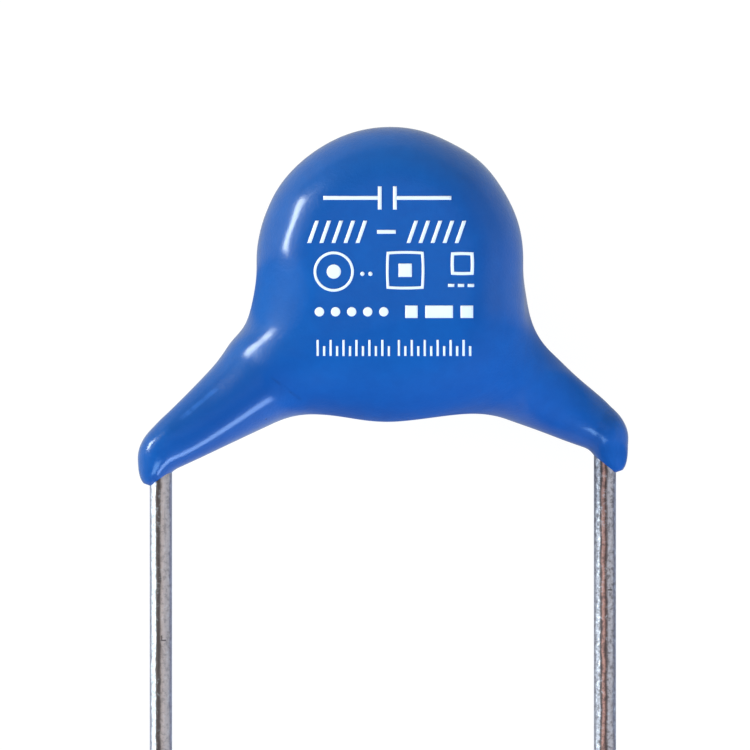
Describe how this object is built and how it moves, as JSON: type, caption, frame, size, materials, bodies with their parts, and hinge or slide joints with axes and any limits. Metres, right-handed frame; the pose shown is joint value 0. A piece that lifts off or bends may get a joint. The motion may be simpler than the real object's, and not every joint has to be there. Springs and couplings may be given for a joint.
{
  "type": "ceramic disc capacitor",
  "caption": "Leaded ceramic disc capacitor with a blue dipped coat whose arms run down to two long straight wire leads.",
  "frame": {"origin": "under the middle of the whole part's box, on the surface that the part lies on", "axes": "the part lies on its back: +Z is the disc's axis and the marked front face is up; +X runs from the front face's lead to the rear face's lead; +Y points away from the leads' free ends, which is up in the picture"},
  "size_m": [0.011, 0.028, 0.0043],
  "materials": {
    "epoxy_coat": "semi-gloss dipped blue epoxy, slightly uneven",
    "fired_ceramic": "fired and unglazed",
    "fired_silver": "matte fired silver",
    "solder": "dull solder",
    "tinned_wire": "tinned copper-clad wire, mottled, with a worn copper streak on the rear lead"
  },
  "bodies": {
    "root": {"coating": "epoxy_coat", "ceramic_disc": "fired_ceramic", "front_electrode": "fired_silver", "rear_electrode": "fired_silver", "front_solder": "solder", "rear_solder": "solder", "front_lead": "tinned_wire", "rear_lead": "tinned_wire"}
  },
  "joints": []
}
